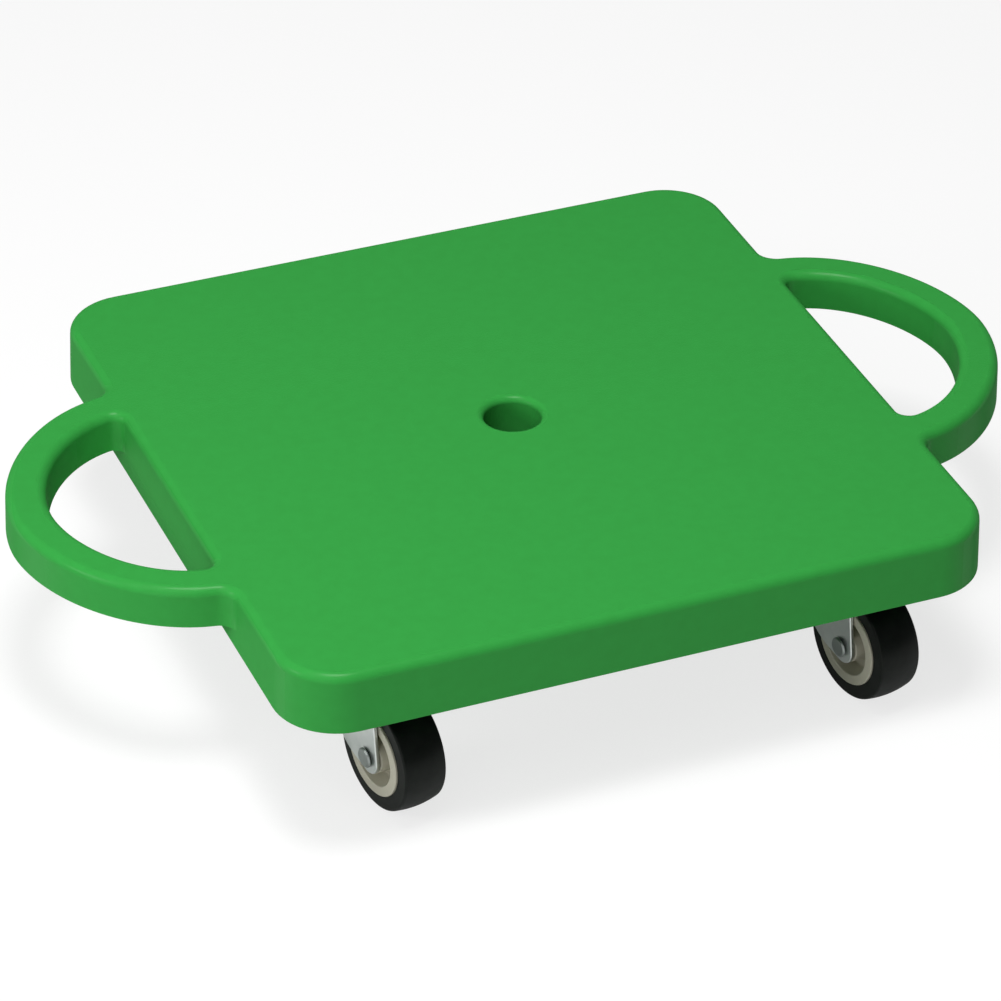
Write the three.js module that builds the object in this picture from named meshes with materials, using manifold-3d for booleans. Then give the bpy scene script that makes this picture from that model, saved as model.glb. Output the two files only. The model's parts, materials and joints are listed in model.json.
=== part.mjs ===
// Scooter board: a moulded square deck with a bow handle on two sides, riding on four swivel casters.
// Millimetres. +Z is up, +X runs from handle to handle, and the origin lies on the floor under the middle.

import * as THREE from 'three';
import { mergeVertices } from 'three/addons/utils/BufferGeometryUtils.js';
import Module from 'manifold-3d';

const wasm = await Module();
wasm.setup();

// Deck, one piece of moulded plastic with its handles
const deckSide = 304.8;
const deckDepth = 27;
const deckCornerRadius = 26.4;
const deckEdgeRadius = 4;
const deckSkin = 3;
const deckWall = 3;
const draftAngle = THREE.MathUtils.degToRad(1.4);

// Bow handles, left and right
const handleReach = 66.6;
const handleSpan = 154.8;
const handleDepth = 17.7;
const handleBar = 17;
const handleWall = 3;
const handleRoundness = 1.84;
const handleRootRadius = 8;
const openingRootRadius = 5;
const handleRibs = 5;

// Ribs, caster pads and the middle hole, all in the open underside
const ribThickness = 2;
const middleRibCells = 4;
const holeDiameter = 24.4;
const holeEdgeRadius = 3;
const holeWall = 3;
const padRim = 2.4;
const padRimDepth = 2;
const padClearance = 0.6;
const screwBossRadius = 5;

// Where the casters sit
const casterInset = 47.8;
const seatRecess = 2.95;
const casterTurn = THREE.MathUtils.degToRad(-79);

// Wheel
const wheelRadius = 25.4;
const tyreWidth = 19.2;
const tyreThickness = 7.5;
const tyreCrown = 1.2;
const tyreShoulder = 1;
const hubProud = 0.8;
const hubRim = 4.4;
const hubWeb = 5;
const hubBossRadius = 7.5;
const hubTaper = 0.8;
const bushWall = 1.3;

// Axle rivet
const axleRadius = 3;
const axleHeadRadius = 4.5;
const axleHeadHeight = 1.5;

// Yoke
const trail = 19;
const legThickness = 1.8;
const legEndRadius = 6.6;
const legEndAhead = 0.7;
const legEndDrop = 0.5;
const legFrontLength = 17;
const legFrontBend = 10;
const legFrontLean = THREE.MathUtils.degToRad(7);
const legRearLength = 8;
const legRearBend = 20;
const legRearRise = THREE.MathUtils.degToRad(13);
const legRootShare = 0.95;
const hubSideGap = 0.6;
const crownToScrew = 4.2;
const crownThickness = 1.8;
const crownRimHeight = 1.5;
const crownChamfer = 1.1;

// Swivel: kingpin and two rows of balls
const kingpinRadius = 4;
const kingpinHeadRadius = 7.5;
const kingpinHeadHeight = 1.8;
const kingpinTailRadius = 6;
const kingpinTailHeight = 1.2;
const kingpinHeadSink = 0.3;
const kingpinPlay = 0.9;
const ballRadius = 1.59;
const ballSeat = 0.35;
const ballPlay = 0.2;
const upperBalls = 7;
const lowerBalls = 5;
const raceThickness = 1.5;
const raceRim = 1;
const raceRimHeight = 1.1;
const raceSideGap = 1;
const raceToWheel = 0.5;

// Mounting plate and its screws
const plateThickness = 2;
const platePatternLength = 44.4;
const platePatternWidth = 33;
const plateMargin = 8;
const plateCornerRadius = 6;
const plateSlot = 3;
const screwRadius = 2.1;
const screwLength = 13;
const screwTip = 2.6;
const screwHeadRadius = 4;
const screwHeadHeight = 2.2;

// Top of a screw's or rivet's head as a share of its width
const headTopShare = 0.6;

// Gaps between pieces that turn or stand at an angle and between flat seats, what a cut runs past a face,
// and how near two points are taken as one
const fit = 0.3;
const seatGap = 0.1;
const overrun = 1;
const weld = 1e-4;

// Numbers of flat sides that stand for round forms
const wheelSides = 20;
const crownSides = 20;
const roundSides = 12;
const smallSides = 8;
const pilotSides = 6;
const cornerSteps = 4;
const rootSteps = 2;
const bowSteps = 14;
const edgeSteps = 3;
const legSteps = 4;
const bisections = 40;

// How far a moulded wall leans out for each millimetre down
const draft = Math.tan(draftAngle);

// Heights, worked up from the floor
const wheelTop = 2 * wheelRadius;
const raceBottom = wheelTop + raceToWheel;
const raceTop = raceBottom + raceThickness;
const lowerBallZ = raceTop + ballRadius - ballSeat;
const crownBottom = lowerBallZ + ballRadius + ballPlay;
const crownTop = crownBottom + crownThickness;
const upperBallZ = crownTop + ballRadius - ballSeat;
const plateBottom = upperBallZ + ballRadius + ballPlay;
const plateTop = plateBottom + plateThickness;
const seatZ = plateTop + seatGap;
const deckBottom = seatZ - seatRecess;
const deckTop = deckBottom + deckDepth;
const handleBottom = deckTop - handleDepth;
const skinBottom = deckTop - deckSkin;

// Widths across a wheel
const hubHalf = tyreWidth / 2 + hubProud;
const yokeInner = hubHalf + hubSideGap;
const yokeOuter = yokeInner + legThickness;
const bushLength = 2 * (yokeInner - fit);
const bushOuter = axleRadius + fit + bushWall;
const hubRadius = wheelRadius - tyreThickness;

// The yoke's crown ends just short of the screw heads
const crownRadius = Math.hypot(platePatternLength, platePatternWidth) / 2 - screwHeadRadius - crownToScrew;

// Materials
const greenPlastic = new THREE.MeshStandardMaterial({ color: '#3fa24a', roughness: 0.45, metalness: 0 });
const zincSteel = new THREE.MeshStandardMaterial({ color: '#a3a5a1', roughness: 0.4, metalness: 0.9 });
const brightSteel = new THREE.MeshStandardMaterial({ color: '#8d9090', roughness: 0.3, metalness: 0.95 });
const creamPlastic = new THREE.MeshStandardMaterial({ color: '#c8c4b2', roughness: 0.5, metalness: 0 });
const blackRubber = new THREE.MeshStandardMaterial({ color: '#262a28', roughness: 0.7, metalness: 0 });

// A closed geometry as a solid, turned right side out where its faces point inwards
function solid(geometry) {
  const bare = geometry.clone();
  bare.deleteAttribute('normal');
  bare.deleteAttribute('uv');
  const merged = mergeVertices(bare, weld);
  const vertProperties = new Float32Array(merged.attributes.position.array);
  const triVerts = new Uint32Array(merged.index.array);
  const made = new wasm.Manifold(new wasm.Mesh({ numProp: 3, vertProperties, triVerts }));
  if (made.volume() > 0) return made;
  triVerts.reverse();
  return new wasm.Manifold(new wasm.Mesh({ numProp: 3, vertProperties, triVerts }));
}

// The geometry of a solid
function geometryOf(made) {
  const mesh = made.getMesh();
  const geometry = new THREE.BufferGeometry();
  geometry.setAttribute('position', new THREE.BufferAttribute(new Float32Array(mesh.vertProperties), 3));
  geometry.setIndex(new THREE.BufferAttribute(new Uint32Array(mesh.triVerts), 1));
  return geometry;
}

function union(parts) {
  return parts.reduce((whole, part) => whole.add(part));
}

// A solid of revolution about Z from a profile of [radius, height] points
function turned(profile, sides) {
  const points = profile.map(([radius, height]) => new THREE.Vector2(radius, height));
  const geometry = new THREE.LatheGeometry(points, sides);
  geometry.rotateX(Math.PI / 2);
  return solid(geometry);
}

// A solid of revolution about Y, with a flat side, not an edge, facing the floor
function turnedOnAxle(profile, sides) {
  const points = profile.map(([radius, width]) => new THREE.Vector2(radius, width));
  return solid(new THREE.LatheGeometry(points, sides, Math.PI / sides));
}

// A profile that turns about the axis itself, closed on the axis at both ends
function onAxis(profile) {
  return [[0, profile[0][1]], ...profile, [0, profile.at(-1)[1]]];
}

// A profile that stays clear of the axis, closed on its own first point
function ring(profile) {
  return [...profile, profile[0]];
}

function cylinder(radius, low, high, sides) {
  return turned(onAxis([[radius, low], [radius, high]]), sides);
}

// A cutter whose flat sides all lie outside a round of this radius
function bore(radius, low, high, sides) {
  return cylinder(radius / Math.cos(Math.PI / sides), low, high, sides);
}

function box(x0, x1, y0, y1, z0, z1) {
  const geometry = new THREE.BoxGeometry(x1 - x0, y1 - y0, z1 - z0);
  geometry.translate((x0 + x1) / 2, (y0 + y1) / 2, (z0 + z1) / 2);
  return solid(geometry);
}

// Points along an arc, ends included
function arc(x, y, radius, from, to, steps) {
  return Array.from({ length: steps + 1 }, (_, i) => {
    const angle = from + ((to - from) * i) / steps;
    return new THREE.Vector2(x + radius * Math.cos(angle), y + radius * Math.sin(angle));
  });
}

function roundedRectangle(halfX, halfY, radius, steps) {
  const x = halfX - radius;
  const y = halfY - radius;
  const quarter = Math.PI / 2;
  return [
    ...arc(x, -y, radius, -quarter, 0, steps),
    ...arc(x, y, radius, 0, quarter, steps),
    ...arc(-x, y, radius, quarter, 2 * quarter, steps),
    ...arc(-x, -y, radius, 2 * quarter, 3 * quarter, steps),
  ];
}

// A slot along X with round ends
function slotOutline(halfLength, radius, steps) {
  const quarter = Math.PI / 2;
  return [
    ...arc(halfLength, 0, radius, -quarter, quarter, steps),
    ...arc(-halfLength, 0, radius, quarter, 3 * quarter, steps),
  ];
}

// An outline moved outwards by a distance, its points running anticlockwise
function grown(outline, distance) {
  const count = outline.length;
  return outline.map((point, i) => {
    const before = point.clone().sub(outline[(i + count - 1) % count]).normalize();
    const after = outline[(i + 1) % count].clone().sub(point).normalize();
    const normal = new THREE.Vector2(before.y + after.y, -before.x - after.x).normalize();
    const lean = normal.x * after.y - normal.y * after.x;
    return point.clone().addScaledVector(normal, distance / lean);
  });
}

// A solid through level copies of an outline, one for each [growth, height]
function stacked(outline, levels) {
  const count = outline.length;
  const positions = [];
  const index = [];
  for (const [growth, height] of levels) {
    for (const point of grown(outline, growth)) positions.push(point.x, point.y, height);
  }
  for (let level = 0; level + 1 < levels.length; level += 1) {
    for (let i = 0; i < count; i += 1) {
      const a = level * count + i;
      const b = level * count + ((i + 1) % count);
      index.push(a, b, b + count, a, b + count, a + count);
    }
  }
  const top = (levels.length - 1) * count;
  for (const [a, b, c] of THREE.ShapeUtils.triangulateShape(outline, [])) {
    index.push(a, c, b, top + a, top + b, top + c);
  }
  const geometry = new THREE.BufferGeometry();
  geometry.setAttribute('position', new THREE.Float32BufferAttribute(positions, 3));
  geometry.setIndex(index);
  return solid(geometry);
}

// Levels that round an edge over into the top: inwards on a rim, outwards (side -1) round a hole
function roundedEdge(radius, top, side) {
  return Array.from({ length: edgeSteps + 1 }, (_, i) => {
    const angle = (i * Math.PI) / 2 / edgeSteps;
    return [-side * radius * (1 - Math.cos(angle)), top - radius * (1 - Math.sin(angle))];
  });
}

// One point of the bow and its outward normal, measured from the deck's side
function bowPoint(reach, halfSpan, angle) {
  const power = 2 / handleRoundness;
  const point = new THREE.Vector2(
    reach * Math.cos(angle) ** power,
    halfSpan * Math.sign(angle) * Math.abs(Math.sin(angle)) ** power,
  );
  const slope = handleRoundness - 1;
  const normal = new THREE.Vector2(
    Math.abs(point.x / reach) ** slope / reach,
    (Math.sign(point.y) * Math.abs(point.y / halfSpan) ** slope) / halfSpan,
  );
  return { point, normal: normal.normalize() };
}

// The bow from its lower to its upper root, blended into the deck's side by arcs.
// Outside the handle (side 1) the arc is hollow, and in the opening (side -1) it rounds the corner.
function bow(reach, halfSpan, rootRadius, side) {
  let low = 0;
  let high = Math.PI / 2;
  for (let i = 0; i < bisections; i += 1) {
    const middle = (low + high) / 2;
    const { point, normal } = bowPoint(reach, halfSpan, middle);
    if (point.x + side * rootRadius * normal.x > rootRadius) low = middle;
    else high = middle;
  }
  const { point: end, normal } = bowPoint(reach, halfSpan, low);
  const centre = end.clone().addScaledVector(normal, side * rootRadius);
  const start = Math.atan2(-side * normal.y, -side * normal.x);
  const stop = side > 0 ? -Math.PI : Math.PI;
  const upper = arc(centre.x, centre.y, rootRadius, start, stop, rootSteps).slice(1);
  const lower = upper.map((p) => new THREE.Vector2(p.x, -p.y)).reverse();
  const middle = Array.from({ length: bowSteps + 1 }, (_, i) => {
    return bowPoint(reach, halfSpan, -low + (2 * low * i) / bowSteps).point;
  });
  return [...lower, ...middle, ...upper].map((p) => new THREE.Vector2(p.x + deckSide / 2, p.y));
}

function mirrored(points) {
  return points.map((p) => new THREE.Vector2(-p.x, p.y)).reverse();
}

const outerBow = bow(handleReach, handleSpan / 2, handleRootRadius, 1);
const openingBow = bow(handleReach - handleBar, handleSpan / 2 - handleBar, openingRootRadius, -1);
const squareOutline = roundedRectangle(deckSide / 2, deckSide / 2, deckCornerRadius, cornerSteps);

// The deck's plan with both handles: two right corners, the left ones mirrored, a bow between each pair
function deckOutline() {
  const perCorner = cornerSteps + 1;
  const lowerRight = squareOutline.slice(0, perCorner);
  const upperRight = squareOutline.slice(perCorner, 2 * perCorner);
  const right = [...lowerRight, ...outerBow, ...upperRight];
  return [...right, ...mirrored(right)];
}

const casterPlaces = [
  ['front_left', -1, -1],
  ['front_right', 1, -1],
  ['rear_left', -1, 1],
  ['rear_right', 1, 1],
];
const casterOffset = deckSide / 2 - casterInset;
const screwPlaces = [[-1, -1], [1, -1], [-1, 1], [1, 1]].map(([sx, sy]) => {
  return [(sx * platePatternLength) / 2, (sy * platePatternWidth) / 2];
});
const plateHalfX = platePatternLength / 2 + plateMargin;
const plateHalfY = platePatternWidth / 2 + plateMargin;

// Outer form of the deck: handles and openings above, the plain square skirt below
function deckForm() {
  const spread = draft * handleDepth;
  const slab = stacked(deckOutline(), [[spread, handleBottom], ...roundedEdge(deckEdgeRadius, deckTop, 1)]);
  const opening = stacked(openingBow, [
    [-spread, handleBottom],
    ...roundedEdge(deckEdgeRadius, deckTop, -1),
  ]);
  const below = stacked(openingBow, [[-spread, handleBottom - overrun], [-spread, handleBottom]]);
  const above = stacked(openingBow, [[deckEdgeRadius, deckTop], [deckEdgeRadius, deckTop + overrun]]);
  const cutter = union([below, opening, above]);
  const skirt = stacked(squareOutline, [[draft * deckDepth, deckBottom], [spread, handleBottom]]);
  return slab.subtract(cutter).subtract(cutter.rotate([0, 0, 180])).add(skirt);
}

// Places of the ribs across one direction: through each row of screws, and evenly between the casters
function ribLines(pattern) {
  const outer = casterOffset + pattern / 2;
  const inner = casterOffset - pattern / 2;
  const between = Array.from({ length: middleRibCells + 1 }, (_, i) => {
    return ((2 * i) / middleRibCells - 1) * inner;
  });
  return [-outer, ...between, outer];
}

// What stands in the deck's hollow: the rib grid, the tube round the hole, and bosses and rims for the casters
function deckStiffening() {
  const half = deckSide / 2;
  const parts = [cylinder(holeDiameter / 2 + holeWall, deckBottom, deckTop, 2 * roundSides)];
  for (const line of ribLines(platePatternLength)) {
    parts.push(box(line - ribThickness / 2, line + ribThickness / 2, -half, half, seatZ, deckTop));
  }
  for (const line of ribLines(platePatternWidth)) {
    parts.push(box(-half, half, line - ribThickness / 2, line + ribThickness / 2, seatZ, deckTop));
  }
  for (const [, sx, sy] of casterPlaces) {
    const x = sx * casterOffset;
    const y = sy * casterOffset;
    const innerX = plateHalfX + padClearance;
    const innerY = plateHalfY + padClearance;
    const outerX = innerX + padRim;
    const outerY = innerY + padRim;
    const rimLow = seatZ - padRimDepth;
    const rim = box(-outerX, outerX, -outerY, outerY, rimLow, deckTop)
      .subtract(box(-innerX, innerX, -innerY, innerY, rimLow - overrun, deckTop + overrun));
    parts.push(rim.translate([x, y, 0]));
    for (const [dx, dy] of screwPlaces) {
      parts.push(cylinder(screwBossRadius, seatZ, deckTop, smallSides).translate([x + dx, y + dy, 0]));
    }
  }
  return union(parts);
}

// The bow alone, with no blends, closed by a straight line along the deck's side
function plainBow(reach, halfSpan) {
  return Array.from({ length: bowSteps + 1 }, (_, i) => {
    const { point } = bowPoint(reach, halfSpan, (i / bowSteps - 1 / 2) * Math.PI);
    return new THREE.Vector2(point.x + deckSide / 2, point.y);
  });
}

// The channel under the right handle, crossed by ribs that stand square to the bow
function handleChannel() {
  const reach = handleReach - handleWall;
  const half = handleSpan / 2 - handleWall;
  const bar = handleBar - 2 * handleWall;
  const low = handleBottom - overrun;
  const high = skinBottom;
  const outside = stacked(plainBow(reach, half), [[0, low], [0, high]]);
  const inside = stacked(plainBow(reach - bar, half - bar), [[0, low - overrun], [0, high + overrun]]);
  const side = deckSide / 2 + draft * handleDepth;
  const beside = box(side, side + handleReach, -handleSpan, handleSpan, low, high);
  const ribs = Array.from({ length: handleRibs }, (_, i) => {
    const angle = ((i + 1) / (handleRibs + 1) - 1 / 2) * Math.PI;
    const { point, normal } = bowPoint(reach, half, angle);
    const plate = box(-handleBar, handleBar, -ribThickness / 2, ribThickness / 2, handleBottom, deckTop);
    const turn = THREE.MathUtils.radToDeg(Math.atan2(normal.y, normal.x));
    return plate.rotate([0, 0, turn]).translate([deckSide / 2 + point.x, point.y, 0]);
  });
  return outside.subtract(inside).intersect(beside).subtract(union(ribs));
}

function deck() {
  const hollow = stacked(squareOutline, [
    [draft * (deckDepth + overrun) - deckWall, deckBottom - overrun],
    [draft * deckSkin - deckWall, skinBottom],
  ]).subtract(deckStiffening());
  const channel = handleChannel();
  const holeOutline = arc(0, 0, holeDiameter / 2, 0, 2 * Math.PI, 2 * roundSides).slice(1);
  const hole = stacked(holeOutline, [
    [0, deckBottom - overrun],
    ...roundedEdge(holeEdgeRadius, deckTop, -1),
    [holeEdgeRadius, deckTop + overrun],
  ]);
  const pilots = casterPlaces.flatMap(([, sx, sy]) => screwPlaces.map(([dx, dy]) => {
    const pilot = bore(screwRadius + seatGap, seatZ - overrun, seatZ + screwLength + overrun, pilotSides);
    return pilot.translate([sx * casterOffset + dx, sy * casterOffset + dy, 0]);
  }));
  return deckForm()
    .subtract(hollow)
    .subtract(channel)
    .subtract(channel.rotate([0, 0, 180]))
    .subtract(hole)
    .subtract(union(pilots));
}

// Mounting plate: slotted, with a dish pressed down in the middle for the kingpin's head
const dishDepth = kingpinHeadHeight + kingpinHeadSink + seatGap;
const dishRadius = kingpinHeadRadius + fit;

function mountPlate() {
  const outline = roundedRectangle(plateHalfX, plateHalfY, plateCornerRadius, rootSteps);
  const sheet = stacked(outline, [[0, plateBottom], [0, plateTop]]);
  const wide = dishRadius + plateThickness;
  const dish = turned(onAxis([
    [dishRadius, plateBottom - dishDepth],
    [wide, plateBottom],
    [wide, plateTop],
  ]), roundSides);
  const hollow = cylinder(dishRadius, plateTop - dishDepth, plateTop + overrun, roundSides);
  const pinHole = bore(kingpinRadius + seatGap, plateBottom - dishDepth - overrun, plateTop, roundSides);
  const slots = screwPlaces.map(([x, y]) => {
    const slot = slotOutline(plateSlot / 2, screwRadius + seatGap, rootSteps);
    return stacked(slot, [[0, plateBottom - overrun], [0, plateTop + overrun]]).translate([x, y, 0]);
  });
  return sheet.add(dish).subtract(hollow).subtract(pinHole).subtract(union(slots));
}

function screw() {
  const headTop = plateBottom - seatGap;
  const headBottom = headTop - screwHeadHeight;
  const end = plateTop + screwLength;
  return turned([
    [0, headBottom],
    [headTopShare * screwHeadRadius, headBottom],
    [screwHeadRadius, headTop],
    [screwRadius, headTop],
    [screwRadius, end - screwTip],
    [0, end],
  ], smallSides);
}

function kingpin() {
  const headBottom = plateTop - dishDepth + seatGap;
  const tailTop = raceBottom - seatGap;
  return turned(onAxis([
    [kingpinTailRadius, tailTop - kingpinTailHeight],
    [kingpinTailRadius, tailTop],
    [kingpinRadius, tailTop],
    [kingpinRadius, headBottom],
    [kingpinHeadRadius, headBottom],
    [kingpinHeadRadius, headBottom + kingpinHeadHeight],
  ]), roundSides);
}

// A row of balls, each sunk a little into the groove that carries it
function balls(count, pitch, height) {
  return Array.from({ length: count }, (_, i) => {
    const angle = (2 * Math.PI * i) / count;
    const ball = new THREE.IcosahedronGeometry(ballRadius, 0);
    ball.translate(pitch * Math.cos(angle), pitch * Math.sin(angle), height);
    return solid(ball);
  });
}

// Lower race: a cupped washer on the kingpin with its row of balls
function lowerRace() {
  const outer = yokeInner - raceSideGap;
  const cup = turned(ring([
    [kingpinRadius + seatGap, raceBottom],
    [outer, raceBottom],
    [outer, raceTop + raceRimHeight],
    [outer - raceRim, raceTop + raceRimHeight],
    [outer - raceRim, raceTop],
    [kingpinRadius + seatGap, raceTop],
  ]), roundSides);
  return union([cup, ...balls(lowerBalls, outer - raceRim - fit - ballRadius, lowerBallZ)]);
}

// One leg of the yoke, seen along the axle: a round end, a front edge that leans back a little, and a rear
// edge that runs back in a low straight line and then sweeps up to the crown
function legShape() {
  const rootHalf = legRootShare * Math.sqrt(crownRadius ** 2 - yokeOuter ** 2);
  const top = crownBottom + crownThickness / 2;
  const end = new THREE.Vector2(trail + legEndAhead, wheelRadius - legEndDrop);
  const along = (from, way, distance) => from.clone().addScaledVector(way, distance);
  const rearTurn = (3 * Math.PI) / 2 - legRearRise;
  const rearward = new THREE.Vector2(-Math.cos(legRearRise), Math.sin(legRearRise));
  const foot = along(end, new THREE.Vector2(Math.cos(rearTurn), Math.sin(rearTurn)), legEndRadius);
  const rear = along(foot, rearward, legRearLength);
  const rearBend = along(rear, rearward, legRearBend);
  const upward = new THREE.Vector2(-Math.sin(legFrontLean), Math.cos(legFrontLean));
  const toe = along(end, new THREE.Vector2(Math.cos(legFrontLean), Math.sin(legFrontLean)), legEndRadius);
  const front = along(toe, upward, legFrontLength);
  const frontBend = along(front, upward, legFrontBend);
  const shape = new THREE.Shape();
  shape.moveTo(rootHalf, top);
  shape.lineTo(-rootHalf, top);
  shape.lineTo(-rootHalf, crownBottom);
  shape.quadraticCurveTo(rearBend.x, rearBend.y, rear.x, rear.y);
  shape.lineTo(foot.x, foot.y);
  shape.absarc(end.x, end.y, legEndRadius, rearTurn, 2 * Math.PI + legFrontLean, false);
  shape.lineTo(front.x, front.y);
  shape.quadraticCurveTo(frontBend.x, frontBend.y, rootHalf, crownBottom);
  const hole = new THREE.Path();
  const holeRadius = (axleRadius + fit) / Math.cos(Math.PI / 2 / legSteps);
  hole.absarc(trail, wheelRadius, holeRadius, 0, 2 * Math.PI, true);
  shape.holes.push(hole);
  return shape;
}

// Yoke: the crown that runs on both rows of balls, and two legs down to the axle
function yoke() {
  const eye = kingpinRadius + kingpinPlay;
  const rimInside = crownRadius - crownThickness;
  const crown = turned(ring([
    [eye, crownBottom],
    [crownRadius - crownChamfer, crownBottom],
    [crownRadius, crownBottom + crownChamfer],
    [crownRadius, crownTop + crownRimHeight],
    [rimInside, crownTop + crownRimHeight],
    [rimInside, crownTop],
    [eye, crownTop],
  ]), crownSides);
  const leg = new THREE.ExtrudeGeometry(legShape(), {
    depth: legThickness,
    bevelEnabled: false,
    curveSegments: legSteps,
  });
  leg.rotateX(Math.PI / 2);
  const right = leg.clone().translate(0, -yokeInner, 0);
  const left = leg.clone().translate(0, yokeOuter, 0);
  const row = balls(upperBalls, rimInside - fit - ballRadius, upperBallZ);
  return union([crown, solid(right), solid(left), ...row]);
}

function axle() {
  const shankEnd = yokeOuter + fit;
  const headEnd = shankEnd + axleHeadHeight;
  const half = [[axleRadius, shankEnd], [axleHeadRadius, shankEnd], [headTopShare * axleHeadRadius, headEnd]];
  const other = half.map(([radius, width]) => [radius, -width]).reverse();
  return turnedOnAxle(onAxis([...other, ...half]), roundSides);
}

function bush() {
  const half = bushLength / 2;
  const inner = axleRadius + fit;
  return turnedOnAxle(ring([[inner, -half], [bushOuter, -half], [bushOuter, half], [inner, half]]), roundSides);
}

// Hub: a rim ring that stands a little proud of the tyre, a recessed web and a boss round the bush
function hub() {
  const bossEnd = bushLength / 2 - fit;
  const inner = bushOuter + fit;
  const web = hubWeb / 2;
  const rimInside = hubRadius - hubRim;
  const half = [
    [hubRadius, hubHalf],
    [rimInside, hubHalf],
    [rimInside - hubTaper, web],
    [hubBossRadius + hubTaper, web],
    [hubBossRadius, bossEnd],
    [inner, bossEnd],
  ];
  const other = half.map(([radius, width]) => [radius, -width]).reverse();
  return turnedOnAxle(ring([...other, ...half]), wheelSides);
}

// Tyre: a band with a crowned tread and soft shoulders, its tread's flats at the wheel's radius
function tyre() {
  const edge = tyreWidth / 2;
  const reach = 1 / Math.cos(Math.PI / wheelSides);
  const shoulder = wheelRadius - tyreCrown;
  const half = [
    [wheelRadius, 0],
    [wheelRadius - tyreCrown / 4, edge / 2],
    [shoulder, edge - tyreShoulder],
    [shoulder - tyreShoulder, edge],
  ].map(([radius, width]) => [radius * reach, width]);
  const inner = (hubRadius + seatGap) * reach;
  const other = half.slice(1).map(([radius, width]) => [radius, -width]).reverse();
  return turnedOnAxle(ring([[inner, -edge], ...other, ...half, [inner, edge]]), wheelSides);
}

function named(name, geometry, material) {
  const mesh = new THREE.Mesh(geometry, material);
  mesh.name = name;
  return mesh;
}

const scooterBoard = new THREE.Group();
scooterBoard.add(named('deck', geometryOf(deck()), greenPlastic));

const plateGeometry = geometryOf(mountPlate());
const screwGeometry = geometryOf(screw());
const kingpinGeometry = geometryOf(kingpin());
const raceGeometry = geometryOf(lowerRace());
const yokeGeometry = geometryOf(yoke());
const axleGeometry = geometryOf(axle());
const bushGeometry = geometryOf(bush());
const hubGeometry = geometryOf(hub());
const tyreGeometry = geometryOf(tyre());

for (const [place, sx, sy] of casterPlaces) {
  const caster = new THREE.Group();
  caster.position.set(sx * casterOffset, sy * casterOffset, 0);
  caster.add(named(`${place}_mount_plate`, plateGeometry, zincSteel));
  caster.add(named(`${place}_kingpin`, kingpinGeometry, brightSteel));
  caster.add(named(`${place}_lower_race`, raceGeometry, zincSteel));
  screwPlaces.forEach(([x, y], i) => {
    const fastener = named(`${place}_screw_${i + 1}`, screwGeometry, brightSteel);
    fastener.position.set(x, y, 0);
    caster.add(fastener);
  });

  const swivel = new THREE.Group();
  swivel.rotation.z = casterTurn;
  swivel.add(named(`${place}_yoke`, yokeGeometry, zincSteel));
  const wheel = new THREE.Group();
  wheel.position.set(trail, 0, wheelRadius);
  wheel.add(named(`${place}_axle`, axleGeometry, brightSteel));
  wheel.add(named(`${place}_bush`, bushGeometry, zincSteel));
  wheel.add(named(`${place}_hub`, hubGeometry, creamPlastic));
  wheel.add(named(`${place}_tyre`, tyreGeometry, blackRubber));
  swivel.add(wheel);
  caster.add(swivel);
  scooterBoard.add(caster);
}

export default scooterBoard;
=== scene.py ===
"""Scooter board: a moulded green deck with two bow handles, on four swivel casters."""

import json
import math

import bmesh
import bpy
from mathutils import Matrix, Vector


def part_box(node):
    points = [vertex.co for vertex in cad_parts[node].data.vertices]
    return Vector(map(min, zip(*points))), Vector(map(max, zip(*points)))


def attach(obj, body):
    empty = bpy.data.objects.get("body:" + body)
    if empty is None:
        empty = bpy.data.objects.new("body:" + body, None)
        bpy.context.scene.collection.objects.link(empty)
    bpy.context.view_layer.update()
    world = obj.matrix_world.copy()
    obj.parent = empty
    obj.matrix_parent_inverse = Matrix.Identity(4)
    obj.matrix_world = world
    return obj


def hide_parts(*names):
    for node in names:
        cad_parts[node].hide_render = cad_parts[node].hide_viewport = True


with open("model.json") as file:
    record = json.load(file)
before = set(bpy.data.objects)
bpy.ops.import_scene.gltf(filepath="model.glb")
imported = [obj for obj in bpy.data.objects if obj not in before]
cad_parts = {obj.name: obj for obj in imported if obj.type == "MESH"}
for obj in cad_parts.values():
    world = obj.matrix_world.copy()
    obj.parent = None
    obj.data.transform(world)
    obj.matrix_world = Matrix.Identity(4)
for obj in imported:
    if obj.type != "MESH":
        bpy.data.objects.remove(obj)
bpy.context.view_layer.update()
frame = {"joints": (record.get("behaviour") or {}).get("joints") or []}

MM = 0.001

# The board, in metres
deck_side = 304.8 * MM
deck_corner = 26.4 * MM
deck_edge = 4 * MM
deck_skin = 3 * MM
deck_wall = 3 * MM
skirt_lip = 0.8 * MM
draft = math.tan(math.radians(1.4))

# Bow handles
handle_reach = 66.6 * MM
handle_span = 154.8 * MM
handle_depth = 17.7 * MM
handle_bar = 17 * MM
handle_wall = 3 * MM
handle_roundness = 1.84
handle_root = 8 * MM
opening_root = 5 * MM
handle_ribs = 5

# Ribs, caster pads and the middle hole
rib = 2 * MM
middle_cells = 4
hole_radius = 12.2 * MM
hole_edge = 3 * MM
hole_wall = 3 * MM
pad_rim = 2.4 * MM
pad_rim_depth = 2 * MM
pad_clearance = 0.6 * MM
boss_radius = 5 * MM
pilot_radius = 2.2 * MM

# Mounting plate and screws
pattern_length = 44.4 * MM
pattern_width = 33 * MM
plate_margin = 8 * MM
plate_corner = 6 * MM
plate_thickness = 2 * MM
plate_slot = 3 * MM
plate_edge = 0.4 * MM
screw_radius = 2.1 * MM
screw_head = 4 * MM
screw_head_height = 2.2 * MM
screw_length = 13 * MM
recess_reach = 2.1 * MM
recess_width = 0.9 * MM
recess_depth = 1.3 * MM
head_round_share = 0.8
screw_point_share = 1.2

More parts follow.
